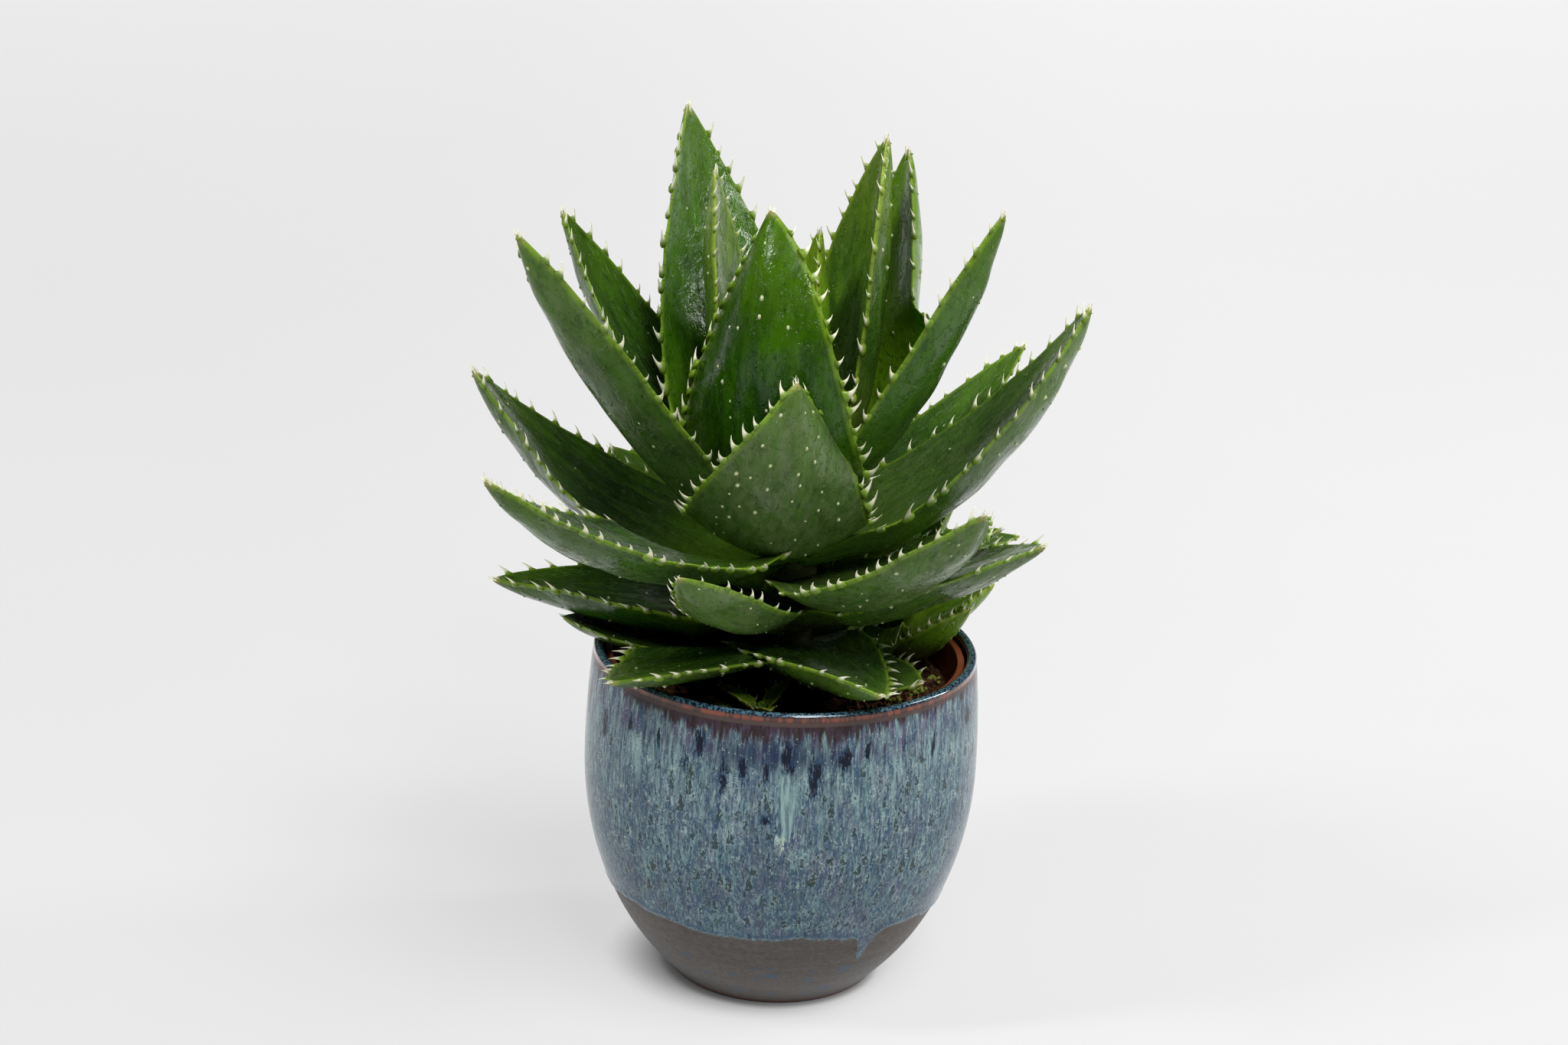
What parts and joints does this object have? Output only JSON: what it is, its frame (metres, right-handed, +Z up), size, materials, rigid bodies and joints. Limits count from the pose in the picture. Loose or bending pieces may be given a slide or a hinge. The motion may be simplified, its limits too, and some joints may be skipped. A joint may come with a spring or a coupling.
{
  "type": "potted mitre aloe",
  "caption": "Spiny rosette succulent with a small offset, growing in a tapered nursery pot set inside a rounded, reactive-glazed ceramic cover pot.",
  "frame": {"origin": "centre of the cover pot's flat base, on the surface that it stands on", "axes": "+Z up along the pot's axis; -Y towards the side that was pictured; +X to its right"},
  "size_m": [0.2033, 0.1876, 0.2879],
  "materials": {
    "glaze": "glossy reactive glaze, slate blue and teal with pale streaks and dark spots, over a bare satin grey-brown stoneware foot",
    "nursery_plastic": "satin terracotta-coloured polypropylene",
    "soil": "damp dark brown peat with fibres and a little moss",
    "stem": "matt, fleshy, brownish green",
    "leaf": "glossy waxy deep green with lime margins, cream thorns and cream tubercles",
    "young_leaf": "glossy waxy bright lime green with cream thorns and tubercles"
  },
  "bodies": {
    "root": {"cover_pot": "glaze", "nursery_pot": "nursery_plastic", "soil": "soil", "main_stem": "stem", "offset_stem": "stem", "shoot_stem": "stem", "leaf_01": "young_leaf", "leaf_02": "young_leaf", "leaf_03": "young_leaf", "leaf_04": "leaf", "leaf_05": "leaf", "leaf_06": "leaf", "leaf_07": "leaf", "leaf_08": "leaf", "leaf_09": "leaf", "leaf_10": "leaf", "leaf_11": "leaf", "leaf_12": "leaf", "leaf_13": "leaf", "leaf_14": "leaf", "leaf_15": "leaf", "leaf_16": "leaf", "leaf_17": "leaf", "leaf_18": "leaf", "leaf_19": "leaf", "leaf_20": "leaf", "leaf_21": "leaf", "leaf_22": "leaf", "leaf_23": "leaf", "leaf_24": "leaf", "leaf_25": "leaf", "leaf_26": "leaf", "leaf_27": "leaf", "leaf_28": "leaf", "leaf_29": "leaf", "leaf_30": "leaf", "leaf_31": "leaf", "leaf_32": "leaf", "leaf_33": "leaf", "offset_leaf_1": "young_leaf", "offset_leaf_2": "young_leaf", "offset_leaf_3": "young_leaf", "offset_leaf_4": "young_leaf", "offset_leaf_5": "young_leaf", "offset_leaf_6": "young_leaf", "offset_leaf_7": "young_leaf", "offset_leaf_8": "young_leaf", "shoot_leaf_1": "young_leaf", "shoot_leaf_2": "young_leaf", "shoot_leaf_3": "young_leaf"}
  },
  "joints": []
}
